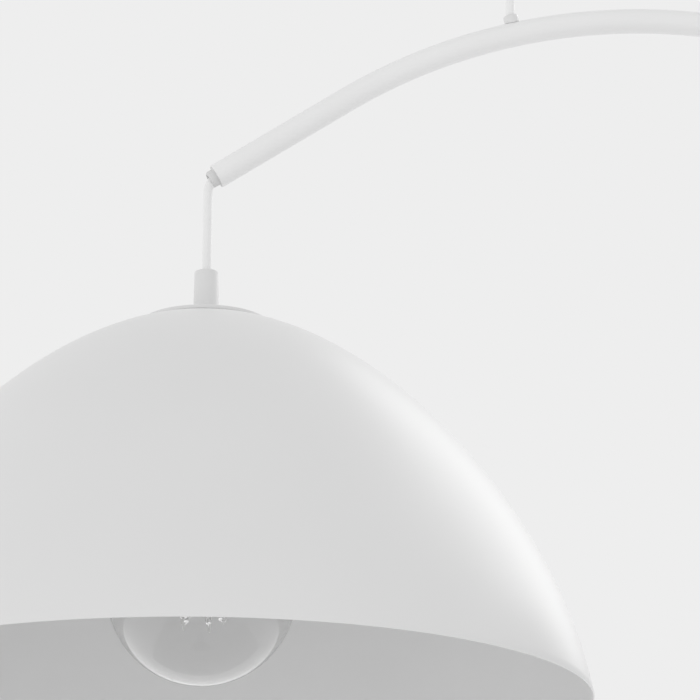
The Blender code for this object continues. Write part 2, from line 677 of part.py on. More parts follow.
def make_mount(label, x, pivot):
    """Glass stem inside the bulb with its central rod."""
    outline = [(0.0085, CAP_Z + 0.012), (0.0085, CAP_Z + 0.004), (0.0050, CAP_Z - 0.006),
               (0.0038, CAP_Z - 0.030), (0.0022, CAP_Z - 0.036), (0.0012, CAP_Z - 0.040),
               (0.0012, GLOBE_Z - 0.0177), (0.0022, GLOBE_Z - 0.0197), (0, GLOBE_Z - 0.0212)]
    outline = [(0, CAP_Z + 0.012)] + outline
    finish(turned(f"bulb_stem_{label}", outline, (x, 0, 0), segments=16), GLASS, pivot)


def make_filament(label, x, pivot):
    """Zigzag filament carried round the stem, as one wire."""
    strands = 5
    low, high = GLOBE_Z - 0.0257, GLOBE_Z + 0.0283
    low_radius, high_radius = 0.0165, 0.0090
    route = []
    for index in range(2 * strands):
        angle = 2 * math.pi * index / (2 * strands)
        down = index % 2 == 0
        radius, z = (low_radius, low) if down else (high_radius, high)
        spread = math.radians(7)
        for turn in (-spread, spread):
            route.append((x + radius * math.cos(angle + turn), radius * math.sin(angle + turn), z))
    wire = poly_tube(f"filament_{label}", [Vector(p) for p in route], 0.0005, resolution=1)
    finish(wire, FILAMENT, pivot)


# ---------------------------------------------------------------- build
make_bracket()
make_canopy()
make_terminals()
make_bow()
for label, side in SIDES:
    make_side_screw(label, side)
    make_gland(label, side)
    make_gland_nut(label, side)
    make_canopy_lead(label, side)
    make_sleeve(label, side)
    cable_length(f"suspension_cable_{label}", side * CABLE_X, SLEEVE_FOOT_Z - 0.0006,
                 MOUTH.y + 0.0006, f"{label}_cable_pivot")
    make_collar(label, side)
    make_inner_cable(label, side)
    make_grommet(label, side)
    lamp_x = side * LAMP_OFFSET
    cable_length(f"drop_cable_link_{label}", lamp_x, LINK_TOP_Z - 0.0003, LINK_FOOT_Z + 0.0003,
                 f"{label}_link_pivot")
    pendant = f"{label}_pendant_pivot"
    cable_length(f"drop_cable_{label}", lamp_x, LINK_FOOT_Z - 0.0005, GRIP_Z + 0.0205, pendant)
    make_grip(label, lamp_x, pendant)
    make_disc(label, lamp_x, pendant)
    make_shade(label, lamp_x, pendant)
    make_stem(label, lamp_x, pendant)
    make_holder(label, lamp_x, pendant)
    make_globe(label, lamp_x, f"{label}_glass_pivot")
    make_cap(label, lamp_x, f"{label}_bulb_pivot")
    make_mount(label, lamp_x, f"{label}_bulb_pivot")
    make_filament(label, lamp_x, f"{label}_bulb_pivot")
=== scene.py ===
import json
import math
import bpy
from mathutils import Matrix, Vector

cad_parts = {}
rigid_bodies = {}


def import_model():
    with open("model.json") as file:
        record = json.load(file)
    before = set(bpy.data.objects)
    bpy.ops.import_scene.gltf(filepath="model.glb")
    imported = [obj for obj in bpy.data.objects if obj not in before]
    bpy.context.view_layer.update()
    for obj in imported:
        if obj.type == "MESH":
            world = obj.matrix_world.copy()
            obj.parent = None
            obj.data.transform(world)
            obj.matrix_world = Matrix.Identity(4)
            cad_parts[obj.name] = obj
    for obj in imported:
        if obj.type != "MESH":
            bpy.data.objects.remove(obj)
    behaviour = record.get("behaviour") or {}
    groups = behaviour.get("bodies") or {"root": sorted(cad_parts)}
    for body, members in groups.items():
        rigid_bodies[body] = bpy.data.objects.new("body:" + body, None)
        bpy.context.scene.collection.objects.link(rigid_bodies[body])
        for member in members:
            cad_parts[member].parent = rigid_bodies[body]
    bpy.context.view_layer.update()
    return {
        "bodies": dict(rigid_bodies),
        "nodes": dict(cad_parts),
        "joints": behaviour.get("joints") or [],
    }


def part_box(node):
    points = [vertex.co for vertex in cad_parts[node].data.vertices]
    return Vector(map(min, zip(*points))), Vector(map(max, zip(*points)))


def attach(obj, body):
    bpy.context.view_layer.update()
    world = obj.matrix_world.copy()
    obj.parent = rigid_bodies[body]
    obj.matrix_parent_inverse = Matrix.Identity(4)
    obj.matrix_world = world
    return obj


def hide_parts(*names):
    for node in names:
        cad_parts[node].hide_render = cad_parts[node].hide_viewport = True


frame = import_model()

jointAt = {j["name"]: j for j in frame["joints"]}
shadeLow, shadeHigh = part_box("shade_left")
lampX = (shadeLow.x + shadeHigh.x) / 2  # the left lamp's axis
rimRadius = (shadeHigh.x - shadeLow.x) / 2
crownZ = shadeHigh.z
rimZ = crownZ - rimRadius  # the shade is as high as its rim's radius
onAxis = 1e-5  # the radius a ring keeps where its outline meets the axis
inPlane = 1e-5  # a corner nearer than this to a plane lies in it
ringWeld = 2.5e-5
domeSteps, domeTip = 6, 2e-5

for item in bpy.data.objects:
    item.select_set(False)


# small helpers for working as in the viewport

def pivotOf(name):
    return Vector(jointAt[name]["pos_m"])


def dropSelection():
    bpy.ops.object.select_all(action="DESELECT")


def takeUp(piece):  # the one piece that is selected, and the active one
    dropSelection()
    piece.select_set(True)
    bpy.context.view_layer.objects.active = piece


def settle(piece):  # the place goes into the mesh, the object sits at the origin
    takeUp(piece)
    bpy.ops.object.transform_apply(location=True, rotation=True, scale=True)
    return piece


def smoothShade(piece, angle=35):
    takeUp(piece)
    bpy.ops.object.shade_smooth_by_angle(angle=math.radians(angle))


def applyAll(piece):
    bpy.context.view_layer.objects.active = piece
    for modifier in list(piece.modifiers):
        bpy.ops.object.modifier_apply(modifier=modifier.name)


def giveWall(piece, thickness):  # inwards, so the drawn surface stays the outside
    wall = piece.modifiers.new("wall", "SOLIDIFY")
    wall.thickness = thickness
    wall.offset = -1
    applyAll(piece)


def faceOutward():  # every face of the active piece
    bpy.ops.object.mode_set(mode="EDIT")
    bpy.ops.mesh.select_all(action="SELECT")
    bpy.ops.mesh.normals_make_consistent(inside=False)
    bpy.ops.object.mode_set(mode="OBJECT")


def arcPoints(centreR, centreZ, radius, fromDeg, toDeg, steps):
    points = []
    for i in range(steps + 1):
        a = math.radians(fromDeg + (toDeg - fromDeg) * i / steps)
        points.append((centreR + radius * math.cos(a), centreZ + radius * math.sin(a)))
    return points


def bezierPoints(a, b, c, d, steps):
    points = []
    for i in range(steps + 1):
        t = i / steps
        w = ((1 - t) ** 3, 3 * t * (1 - t) ** 2, 3 * t * t * (1 - t), t ** 3)
        points.append(tuple(sum(k * p[n] for k, p in zip(w, (a, b, c, d))) for n in (0, 1)))
    return points


def drawRings(name, outline, place, verts=64, closed=False, axis=None):
    # a circle pulled out ring by ring along the outline, each ring scaled to its radius
    dropSelection()
    r, z = outline[0]
    start = max(r, onAxis)
    bpy.ops.mesh.primitive_circle_add(vertices=verts, radius=start, location=(0, 0, z))
    piece = bpy.context.object
    piece.name = name
    piece.data.name = name
    bpy.ops.object.transform_apply(location=True, rotation=False, scale=False)
    bpy.ops.object.mode_set(mode="EDIT")
    bpy.ops.mesh.select_mode(type="VERT")
    bpy.ops.mesh.select_all(action="SELECT")
    last = (start, z)
    rest = list(outline[1:]) + ([outline[0]] if closed else [])
    for r, z in rest:
        r = max(r, onAxis)
        bpy.ops.mesh.extrude_region_move(TRANSFORM_OT_translate={"value": (0, 0, z - last[1])})
        grow = r / last[0]
        bpy.ops.transform.resize(value=(grow, grow, 1), center_override=(0, 0, z))
        last = (r, z)
    bpy.ops.mesh.select_all(action="SELECT")
    bpy.ops.mesh.remove_doubles(threshold=ringWeld)
    bpy.ops.mesh.normals_make_consistent(inside=False)
    bpy.ops.object.mode_set(mode="OBJECT")
    piece.location = place
    if axis is not None:
        piece.rotation_mode = "QUATERNION"
        piece.rotation_quaternion = Vector((0, 0, 1)).rotation_difference(Vector(axis))
    return settle(piece)


def sweptTube(name, path, radius, verts=24, roundEnds=True):
    # a round bar along closely spaced points, its ends rounded about the first and last point
    points = [Vector(p) for p in path]
    dropSelection()
    curve = bpy.data.curves.new(name, "CURVE")
    curve.dimensions = "3D"
    spline = curve.splines.new("POLY")
    spline.points.add(len(points) - 1)
    for slotPoint, p in zip(spline.points, points):
        slotPoint.co = (p.x, p.y, p.z, 1)
    curve.bevel_depth = radius
    curve.bevel_resolution = max(1, verts // 2 - 2)
    line = bpy.data.objects.new(name, curve)
    bpy.context.scene.collection.objects.link(line)
    line.select_set(True)
    bpy.context.view_layer.objects.active = line
    bpy.ops.object.convert(target="MESH")
    piece = bpy.context.object
    if roundEnds:
        closeRound(piece, points, radius)
    return piece


def closeRound(piece, points, radius):
    # each open end is pulled out in shrinking rings to a dome
    ends = ((points[0], (points[0] - points[1]).normalized()),
            (points[-1], (points[-1] - points[-2]).normalized()))
    bpy.context.view_layer.objects.active = piece
    for centre, outward in ends:
        bpy.ops.object.mode_set(mode="EDIT")
        bpy.ops.mesh.select_mode(type="VERT")
        bpy.ops.mesh.select_all(action="DESELECT")
        bpy.ops.object.mode_set(mode="OBJECT")
        for v in piece.data.vertices:
            away = v.co - centre
            v.select = abs(away.dot(outward)) < inPlane and away.length < radius * 1.05
        bpy.ops.object.mode_set(mode="EDIT")
        bpy.ops.mesh.select_mode(type="EDGE")
        last = (radius, 0.0)
        for step in range(1, domeSteps + 1):
            a = math.radians(90 * step / domeSteps)
            r, h = max(radius * math.cos(a), domeTip), radius * math.sin(a)
            bpy.ops.mesh.extrude_region_move(
                TRANSFORM_OT_translate={"value": tuple(outward * (h - last[1]))})
            g = r / last[0]
            bpy.ops.transform.resize(value=(g, g, g), center_override=tuple(centre + outward * h))
            last = (r, h)
        bpy.ops.mesh.merge(type="CENTER")
        bpy.ops.object.mode_set(mode="OBJECT")
    faceOutward()


def joinPieces(name, parts):
    dropSelection()
    for part in parts:
        part.select_set(True)
    bpy.context.view_layer.objects.active = parts[0]
    if len(parts) > 1:
        bpy.ops.object.join()
    piece = bpy.context.object
    piece.name = name
    piece.data.name = name
    return piece


def cutWith(piece, cutter):
    boolean = piece.modifiers.new("cut", "BOOLEAN")
    boolean.object = cutter
    boolean.solver = "EXACT"
    takeUp(piece)
    applyAll(piece)
    bpy.data.objects.remove(cutter, do_unlink=True)


def plainBar(start, end, radius, verts=48):
    start, end = Vector(start), Vector(end)
    dropSelection()
    bpy.ops.mesh.primitive_cylinder_add(vertices=verts, radius=radius, depth=(end - start).length,
                                        location=(start + end) / 2)
    bar = bpy.context.object
    bar.rotation_mode = "QUATERNION"
    bar.rotation_quaternion = Vector((0, 0, 1)).rotation_difference(end - start)
    return settle(bar)


def dress(piece, material, body, nodes=()):
    piece.data.materials.clear()
    piece.data.materials.append(material)
    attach(piece, body)
    if nodes:
        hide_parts(*nodes)


# picking in edit mode, and copies for the right-hand side

def pickFaces(piece, test):  # stays in edit mode with the faces that pass selected
    takeUp(piece)
    bpy.ops.object.mode_set(mode="EDIT")
    bpy.ops.mesh.select_mode(type="FACE")
    bpy.ops.mesh.select_all(action="DESELECT")
    bpy.ops.object.mode_set(mode="OBJECT")
    for face in piece.data.polygons:
        face.select = test(face.center, face.normal)
    bpy.ops.object.mode_set(mode="EDIT")


def pickEdges(piece, test):
    takeUp(piece)
    bpy.ops.object.mode_set(mode="EDIT")
    bpy.ops.mesh.select_mode(type="EDGE")
    bpy.ops.mesh.select_all(action="DESELECT")
    bpy.ops.object.mode_set(mode="OBJECT")
    corners = piece.data.vertices
    for edge in piece.data.edges:
        edge.select = test(corners[edge.vertices[0]].co, corners[edge.vertices[1]].co)
    bpy.ops.object.mode_set(mode="EDIT")


def raiseRibs(piece, centreX, lowZ, highZ, around, height):
    # every second face of a band stands out as a rib
    def onRib(centre, normal):
        turn = math.atan2(centre.y, centre.x - centreX) / (2 * math.pi) * around
        return lowZ < centre.z < highZ and abs(normal.z) < 0.5 and int(math.floor(turn)) % 2 == 0
    pickFaces(piece, onRib)
    bpy.ops.mesh.extrude_region_shrink_fatten(TRANSFORM_OT_shrink_fatten={"value": height})
    bpy.ops.object.mode_set(mode="OBJECT")


def drawLine(name, points):
    # a plane shrunk to one point, then pulled from place to place
    dropSelection()
    bpy.ops.mesh.primitive_plane_add(size=0.001)
    piece = bpy.context.object
    piece.name = name
    bpy.ops.object.mode_set(mode="EDIT")
    bpy.ops.mesh.select_mode(type="VERT")
    bpy.ops.mesh.select_all(action="SELECT")
    bpy.ops.mesh.merge(type="CENTER")
    bpy.ops.transform.translate(value=tuple(points[0]))
    for a, b in zip(points, points[1:]):
        step = Vector(b) - Vector(a)
        bpy.ops.mesh.extrude_region_move(TRANSFORM_OT_translate={"value": tuple(step)})
    bpy.ops.object.mode_set(mode="OBJECT")
    return piece


def copyAcross(piece, mirrored):
    # the right-hand twin: mirrored in the middle plane, or moved from lamp to lamp
    takeUp(piece)
    bpy.ops.object.duplicate(linked=False)
    twin = bpy.context.object
    if mirrored:
        twin.scale.x = -1
    else:
        twin.location.x = -2 * lampX
    settle(twin)
    if mirrored:
        faceOutward()
    return twin


def dressPair(piece, material, body, nodes=(), mirrored=False):
    # the left piece and its twin, each on its own body and in place of its own nodes
    base = piece.name
    pair = []
    for one, label in ((piece, "left"), (copyAcross(piece, mirrored), "right")):
        one.name = f"{base}_{label}"
        one.data.name = one.name
        ownBody = body if body in frame["bodies"] else f"{body}_{label}"
        dress(one, material, ownBody, [f"{node}_{label}" for node in nodes])
        pair.append(one)
    return pair


# camera: a long lens below the left shade's rim, looking a little up

cameraSet = {
    "sensor": 36.0,
    "focalInSensors": 3000 / 700,
    "pitch": 17.79,
    "rimRight": -0.381,  # where the rim's centre lies from the camera, in rim radii
    "rimAhead": 7.532,
    "rimUp": 1.474,
    "farClip": 60,
}


def placeCamera():
    data = bpy.data.cameras.new("lampCamera")
    data.sensor_width = cameraSet["sensor"]
    data.lens = cameraSet["sensor"] * cameraSet["focalInSensors"]
    camera = bpy.data.objects.new("lampCamera", data)
    bpy.context.scene.collection.objects.link(camera)
    camera.location = (lampX - cameraSet["rimRight"] * rimRadius, -cameraSet["rimAhead"] * rimRadius,
                       rimZ - cameraSet["rimUp"] * rimRadius)
    camera.rotation_euler = (math.radians(90 + cameraSet["pitch"]), 0, 0)
    data.clip_end = cameraSet["farClip"]
    bpy.context.scene.camera = camera
    print("camera placed", tuple(round(v, 3) for v in camera.location))


placeCamera()

# studio: even white surroundings, one large soft box behind the right shoulder of the shade

studio = {
    "backdrop": (0.855, 0.855, 0.855),
    "lowLeft": (-0.45, -0.1, -0.88),
    "fill": (0.80, 1.22),  # what the surroundings give as light, up right and low left
    "floorDrop": 2.3,  # below the rims
    "floorSize": 5.0,
    "floorColour": (0.86, 0.86, 0.86),
    "floorRoughness": 0.9,
    "boxPlace": (1.72, 1.85, 1.15),
    "boxSize": 2.3,
    "boxPower": 27.0,
}


def buildStudio():
    world = bpy.data.worlds.new("studioSurround")
    bpy.context.scene.world = world
    world.use_nodes = True
    nodes, links = world.node_tree.nodes, world.node_tree.links
    seen = nodes["Background"]
    seen.inputs["Color"].default_value = (*studio["backdrop"], 1)
    light = nodes.new("ShaderNodeBackground")
    facing = nodes.new("ShaderNodeVectorMath")
    facing.operation = "DOT_PRODUCT"
    facing.inputs[1].default_value = studio["lowLeft"]
    links.new(nodes.new("ShaderNodeTexCoord").outputs["Generated"], facing.inputs[0])
    spread = nodes.new("ShaderNodeMapRange")
    spread.inputs["From Min"].default_value = -1
    spread.inputs["To Min"].default_value, spread.inputs["To Max"].default_value = studio["fill"]
    links.new(facing.outputs["Value"], spread.inputs["Value"])
    links.new(spread.outputs["Result"], light.inputs["Strength"])
    light.inputs["Color"].default_value = (1, 1, 1, 1)
    mix = nodes.new("ShaderNodeMixShader")
    links.new(nodes.new("ShaderNodeLightPath").outputs["Is Camera Ray"], mix.inputs["Fac"])
    links.new(light.outputs["Background"], mix.inputs[1])
    links.new(seen.outputs["Background"], mix.inputs[2])
    links.new(mix.outputs["Shader"], nodes["World Output"].inputs["Surface"])
    dropSelection()
    bpy.ops.mesh.primitive_plane_add(size=studio["floorSize"],
                                     location=(0, 0, rimZ - studio["floorDrop"]))
    floor = bpy.context.object
    floor.name = "studioFloor"
    matt = bpy.data.materials.new("paleFloor")
    matt.use_nodes = True
    shader = matt.node_tree.nodes["Principled BSDF"]
    shader.inputs["Base Color"].default_value = (*studio["floorColour"], 1)
    shader.inputs["Roughness"].default_value = studio["floorRoughness"]
    floor.data.materials.append(matt)
    lamp = bpy.data.lights.new("softBox", "AREA")
    lamp.shape = "SQUARE"
    lamp.size = studio["boxSize"]
    lamp.energy = studio["boxPower"]
    box = bpy.data.objects.new("softBox", lamp)
    bpy.context.scene.collection.objects.link(box)
    box.location = studio["boxPlace"]
    aim = Vector((lampX, 0, (crownZ + rimZ) / 2)) - Vector(studio["boxPlace"])
    box.rotation_mode = "QUATERNION"
    box.rotation_quaternion = aim.to_track_quat("-Z", "Y")
    bpy.context.scene.view_settings.view_transform = "Standard"
    print("studio ready")


buildStudio()

# finishes: every one is a cloud of slight colour and gloss change and a fine relief

finishes = {
    "shadeLacquer": {"dark": (0.695, 0.695, 0.695), "light": (0.711, 0.711, 0.711), "cloud": 5,
                     "gloss": (0.35, 0.39), "grain": 1100, "relief": 0.000012},
    # inside of the shade: the same white paint as the outside, its colour painted darker as shade
    "insideLacquer": {"dark": (0.65, 0.65, 0.65), "light": (0.67, 0.67, 0.67), "cloud": 6,
                      "gloss": (0.52, 0.60), "grain": 900, "relief": 0.000016},
    "bowLacquer": {"dark": (0.77, 0.77, 0.77), "light": (0.79, 0.79, 0.79), "cloud": 9,
                   "gloss": (0.38, 0.46), "grain": 1300, "relief": 0.000010},
    "fittingLacquer": {"dark": (0.67, 0.67, 0.67), "light": (0.69, 0.69, 0.69), "cloud": 60,
                       "gloss": (0.42, 0.50), "grain": 1600, "relief": 0.000008},
    "cableSheath": {"dark": (0.77, 0.77, 0.77), "light": (0.795, 0.795, 0.795), "cloud": 35,
                    "gloss": (0.44, 0.54), "grain": 700, "relief": 0.000012,
                    "stretch": (1, 1, 0.06)},
    "softBush": {"dark": (0.62, 0.62, 0.62), "light": (0.66, 0.66, 0.66), "cloud": 80,
                 "gloss": (0.58, 0.68), "grain": 1500, "relief": 0.000014},
    "mouldedWhite": {"dark": (0.83, 0.83, 0.825), "light": (0.85, 0.85, 0.845), "cloud": 40,
                     "gloss": (0.34, 0.42), "grain": 1800, "relief": 0.000008},
    "zincPlate": {"dark": (0.60, 0.60, 0.60), "light": (0.72, 0.72, 0.715), "cloud": 120,
                  "gloss": (0.30, 0.44), "grain": 2600, "relief": 0.000006, "metal": 1.0},
    "brassPlate": {"dark": (0.68, 0.50, 0.24), "light": (0.78, 0.60, 0.32), "cloud": 140,
                   "gloss": (0.22, 0.36), "grain": 2600, "relief": 0.000005, "metal": 1.0},
    "glazedCeramic": {"dark": (0.84, 0.82, 0.78), "light": (0.90, 0.885, 0.86), "cloud": 90,
                      "gloss": (0.18, 0.30), "grain": 1200, "relief": 0.000010},
    "nickelPlate": {"dark": (0.70, 0.69, 0.67), "light": (0.80, 0.79, 0.77), "cloud": 150,
                    "gloss": (0.16, 0.28), "grain": 2400, "relief": 0.000005, "metal": 1.0},
    "supportWire": {"dark": (0.92, 0.92, 0.92), "light": (0.98, 0.98, 0.98), "cloud": 400,
                    "gloss": (0.05, 0.09), "grain": 3000, "relief": 0.000002, "metal": 1.0},
    "filamentCoat": {"dark": (0.86, 0.86, 0.85), "light": (0.93, 0.93, 0.92), "cloud": 700,
                     "gloss": (0.40, 0.55), "grain": 4000, "relief": 0.000004},
}


cloudDetail, grainDetail = 3.0, 1.0
cloudEnds = (0.3, 0.7)  # the noise values where the dark and the light colour are reached
glassMix = {"tint": (0.93, 0.93, 0.93), "index": 1.38, "waves": 30, "depth": 0.0001,
            "strength": 0.3}


def noiseAt(nodes, links, coords, scale, detail, stretch):
    mapping = nodes.new("ShaderNodeMapping")
    mapping.inputs["Scale"].default_value = stretch
    noise = nodes.new("ShaderNodeTexNoise")
    noise.inputs["Scale"].default_value = scale
    noise.inputs["Detail"].default_value = detail
    links.new(coords, mapping.inputs["Vector"])
    links.new(mapping.outputs["Vector"], noise.inputs["Vector"])
    return noise.outputs["Fac"]


def mixFinish(name, recipe):
    finish = bpy.data.materials.new(name)
    finish.use_nodes = True
    nodes, links = finish.node_tree.nodes, finish.node_tree.links
    shader = nodes["Principled BSDF"]
    shader.inputs["Metallic"].default_value = recipe.get("metal", 0.0)
    coords = nodes.new("ShaderNodeTexCoord").outputs["Object"]
    stretch = recipe.get("stretch", (1, 1, 1))
    cloud = noiseAt(nodes, links, coords, recipe["cloud"], cloudDetail, stretch)
    ramp = nodes.new("ShaderNodeValToRGB")
    for end, place, tone in zip(ramp.color_ramp.elements, cloudEnds, ("dark", "light")):
        end.position = place
        end.color = (*recipe[tone], 1)
    links.new(cloud, ramp.inputs["Fac"])
    links.new(ramp.outputs["Color"], shader.inputs["Base Color"])
    gloss = nodes.new("ShaderNodeMapRange")
    gloss.inputs["To Min"].default_value = recipe["gloss"][0]
    gloss.inputs["To Max"].default_value = recipe["gloss"][1]
    links.new(cloud, gloss.inputs["Value"])
    links.new(gloss.outputs["Result"], shader.inputs["Roughness"])
    bump = nodes.new("ShaderNodeBump")
    bump.inputs["Distance"].default_value = recipe["relief"]
    grain = noiseAt(nodes, links, coords, recipe["grain"], grainDetail, stretch)
    links.new(grain, bump.inputs["Height"])
    links.new(bump.outputs["Normal"], shader.inputs["Normal"])
    return finish


def mixGlass():
    # clear blown glass, with a faint waviness in its thickness
    glass = bpy.data.materials.new("clearGlass")
    glass.use_nodes = True
    nodes, links = glass.node_tree.nodes, glass.node_tree.links
    shader = nodes["Principled BSDF"]
    shader.inputs["Base Color"].default_value = (*glassMix["tint"], 1)
    shader.inputs["Transmission Weight"].default_value = 1.0
    shader.inputs["Roughness"].default_value = 0.0
    shader.inputs["IOR"].default_value = glassMix["index"]
    coords = nodes.new("ShaderNodeTexCoord").outputs["Object"]
    wave = noiseAt(nodes, links, coords, glassMix["waves"], grainDetail, (1, 1, 1))
    bump = nodes.new("ShaderNodeBump")
    bump.inputs["Distance"].default_value = glassMix["depth"]
    bump.inputs["Strength"].default_value = glassMix["strength"]
    links.new(wave, bump.inputs["Height"])
    links.new(bump.outputs["Normal"], shader.inputs["Normal"])
    return glass


made = {name: mixFinish(name, recipe) for name, recipe in finishes.items()}
made["clearGlass"] = mixGlass()
print("finishes mixed:", len(made))

# bow: one round tube, bent once between two straight ends

bow = {
    "apexAboveRim": 0.5375,
    "bend": 0.424,
    "slope": 32.5,
    "radius": 0.0095,
    "wall": 0.0012,
    "endShort": 0.0061,  # the tube ends this far short of the lamp's axis
    "entryAt": 0.096,  # from the middle, along the level
    "entryHole": 0.0046,
    "holeFrom": 0.002,  # the cutter's ends, out from the tube's middle line
    "holeTo": 0.020,
    "verts": 64,
    "bendSteps": 64,
    "straightSteps": 6,
    "lip": 0.00035,
    "lipSteps": 3,
    "weld": 0.00002,
}
bendCentreZ = rimZ + bow["apexAboveRim"] - bow["bend"]
slope = math.radians(bow["slope"])
tangentU = bow["bend"] * math.sin(slope)
tangentZ = bendCentreZ + bow["bend"] * math.cos(slope)
tubeEndU = -lampX - bow["endShort"]
endwards = Vector((-math.cos(slope), 0, -math.sin(slope)))  # out of the left end


def bowPoint(u):  # on the left half, u metres out from the middle
    if u <= tangentU:
        return Vector((-u, 0, bendCentreZ + math.sqrt(bow["bend"] ** 2 - u * u)))
    return Vector((-u, 0, tangentZ - (u - tangentU) * math.tan(slope)))


def bowNormal(u):  # up and out of the bow
    lean = math.asin(min(u, tangentU) / bow["bend"])
    return Vector((-math.sin(lean), 0, math.cos(lean)))


def bowAlong(u):  # down towards the left end
    normal = bowNormal(u)
    return Vector((-normal.z, 0, normal.x))


def acrossX(v):  # the same place or direction on the other half
    return Vector((-v.x, v.y, v.z))


def buildBow():
    dropSelection()
    start, tangent = bowPoint(tubeEndU), bowPoint(tangentU)
    bpy.ops.mesh.primitive_circle_add(vertices=bow["verts"], radius=bow["radius"], location=start,
                                      rotation=(0, math.pi / 2 - slope, 0))
    tube = settle(bpy.context.object)
    tube.name = "bowTube"
    run = (tangent - start) / bow["straightSteps"]
    bpy.ops.object.mode_set(mode="EDIT")
    bpy.ops.mesh.select_mode(type="VERT")
    bpy.ops.mesh.select_all(action="SELECT")
    for step in range(bow["straightSteps"]):
        bpy.ops.mesh.extrude_region_move(TRANSFORM_OT_translate={"value": tuple(run)})
    bpy.ops.mesh.spin(steps=bow["bendSteps"], angle=-2 * slope, center=(0, 0, bendCentreZ),
                      axis=(0, 1, 0))
    for step in range(bow["straightSteps"]):
        bpy.ops.mesh.extrude_region_move(TRANSFORM_OT_translate={"value": (run.x, 0, -run.z)})
    bpy.ops.mesh.select_all(action="SELECT")
    bpy.ops.mesh.remove_doubles(threshold=bow["weld"])
    bpy.ops.mesh.normals_make_consistent(inside=False)
    bpy.ops.object.mode_set(mode="OBJECT")
    giveWall(tube, bow["wall"])
    left = bowPoint(tubeEndU)
    ends = ((left, endwards), (acrossX(left), acrossX(endwards)))

    def onLip(a, b):  # in the plane of an end and running round it, not across the wall
        sameFace = any(abs((a - end).dot(out)) < inPlane and abs((b - end).dot(out)) < inPlane
                       for end, out in ends)
        ringwise = any(abs((a - end).length - (b - end).length) < bow["wall"] / 6
                       for end, out in ends)
        return sameFace and ringwise

    pickEdges(tube, onLip)
    bpy.ops.mesh.bevel(offset=bow["lip"], segments=bow["lipSteps"], affect="EDGES")
    bpy.ops.object.mode_set(mode="OBJECT")
    foot, normal = bowPoint(bow["entryAt"]), bowNormal(bow["entryAt"])
    bar = (foot + normal * bow["holeFrom"], foot + normal * bow["holeTo"])
    for start, end in (bar, (acrossX(bar[0]), acrossX(bar[1]))):
        cutWith(tube, plainBar(start, end, bow["entryHole"], 32))
    smoothShade(tube)
    dress(tube, made["bowLacquer"], "bow", ["bow_tube"])


collar = {"bore": 0.0039, "radius": 0.00575, "height": 0.0060, "skirt": 0.003, "edge": 0.0007,
          "gap": 0.0002, "cutReach": 0.02}


def buildCollars():
    # bush where the suspension cord goes into the bow, its foot cut to the tube
    foot, up, along = bowPoint(bow["entryAt"]), bowNormal(bow["entryAt"]), bowAlong(bow["entryAt"])
    bore, outer = collar["bore"], collar["radius"]
    top = bow["radius"] + collar["height"]
    bottom = bow["radius"] - collar["skirt"]
    edge = collar["edge"]
    outline = [(bore, bottom), (outer, bottom), (outer, top - edge)]
    outline += arcPoints(outer - edge, top - edge, edge, 15, 90, 5)
    outline += arcPoints(bore + edge, top - edge, edge, 90, 180, 5)
    piece = drawRings("entryCollar", outline, foot, verts=48, closed=True, axis=up)
    reach = along * collar["cutReach"]
    cutWith(piece, plainBar(foot - reach, foot + reach, bow["radius"] + collar["gap"], 96))
    smoothShade(piece)
    dressPair(piece, made["fittingLacquer"], "bow", ["entry_collar"], mirrored=True)


# bush in each end of the bow: a nose with a flared mouth, on a shank inside the tube

grommet = {"reach": 0.0058, "nose": 0.0067, "edge": 0.0014, "mouth": 0.0054, "throat": 0.0042,
           "shank": 0.0080, "shankLength": 0.010, "shoulder": 0.0003, "flare": 0.0010,
           "flareEnd": 0.0035, "roll": 0.0002}


def buildGrommets():
    reach, nose, edge = grommet["reach"], grommet["nose"], grommet["edge"]
    shank, depth = grommet["shank"], -grommet["shankLength"]
    outline = [(shank, depth), (shank, 0), (nose, grommet["shoulder"])]
    outline += arcPoints(nose - edge, reach - edge, edge, 0, 80, 6)
    throat, flare = grommet["throat"], grommet["flare"]
    outline += bezierPoints((grommet["mouth"], reach), (throat + flare, reach - grommet["roll"]),
                            (throat, flare), (throat, -grommet["flareEnd"]), 10)
    outline += [(throat, depth)]
    piece = drawRings("endBush", outline, bowPoint(tubeEndU), verts=64, closed=True, axis=endwards)
    smoothShade(piece)
    dressPair(piece, made["softBush"], "bow", ["end_grommet"], mirrored=True)


# supply cord: through the collar, along inside the bow, out of its end and down

cord = {
    "radius": 0.0035,
    "endBend": 0.017,
    "insideBend": 0.0138,
    "steps": 6,
    "verts": 28,
    "aboveTube": (0.0052, 0.002),  # in the collar, out from the tube's skin
    "settling": ((0.128, 0.9), (0.150, 0.6), (0.175, 0.2)),  # out from the middle, share of the drop
    "middleLine": (0.200, 0.228, 0.258, 0.285, 0.305),
    "beforeTurn": 0.006,
}
linkTop = pivotOf("left_shade_sideways_swing")
linkFoot = pivotOf("left_shade_fore_aft_swing")


def smoothRoute(points, steps):
    # Catmull-Rom through the route's own points
    route = [Vector(p) for p in points]
    padded = [2 * route[0] - route[1]] + route + [2 * route[-1] - route[-2]]
    result = [route[0]]
    for a, b, c, d in zip(padded, padded[1:], padded[2:], padded[3:]):
        for i in range(1, steps + 1):
            t = i / steps
            result.append(0.5 * (2 * b + (c - a) * t + (2 * a - 5 * b + 4 * c - d) * t ** 2
                                 + (3 * b - a - 3 * c + d) * t ** 3))
    return result


